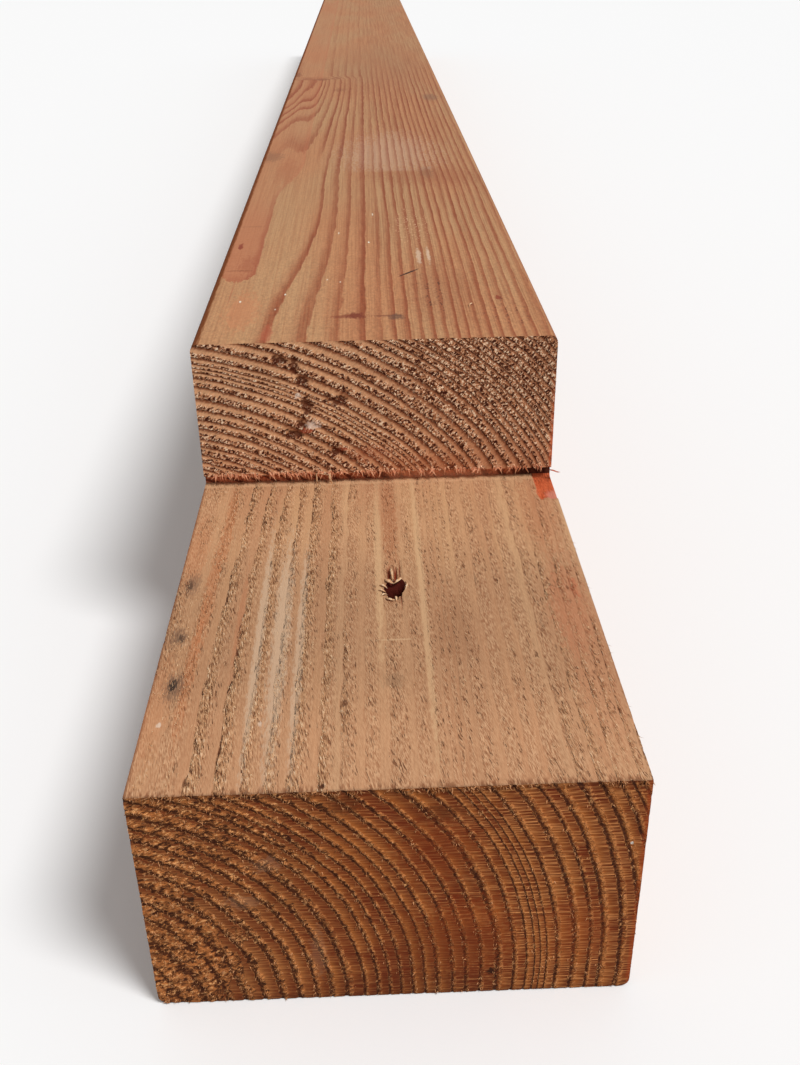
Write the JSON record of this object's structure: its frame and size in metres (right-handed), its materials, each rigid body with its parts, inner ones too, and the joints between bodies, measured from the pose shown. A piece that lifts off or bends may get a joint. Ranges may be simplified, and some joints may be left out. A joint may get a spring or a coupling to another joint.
{
  "type": "carport post",
  "caption": "Square softwood post for a carport, notched at its upper end to carry a beam, with a bolt hole through the tongue.",
  "frame": {"origin": "centre of the post's back face, which it lies on, midway along its length", "axes": "+Y along the grain from the notched upper end to the foot, +Z out of the notch floor, +X across the post"},
  "size_m": [0.145, 2.5, 0.145],
  "materials": {
    "douglas_fir": "matte"
  },
  "bodies": {
    "root": {"carport_post": "douglas_fir"}
  },
  "joints": []
}
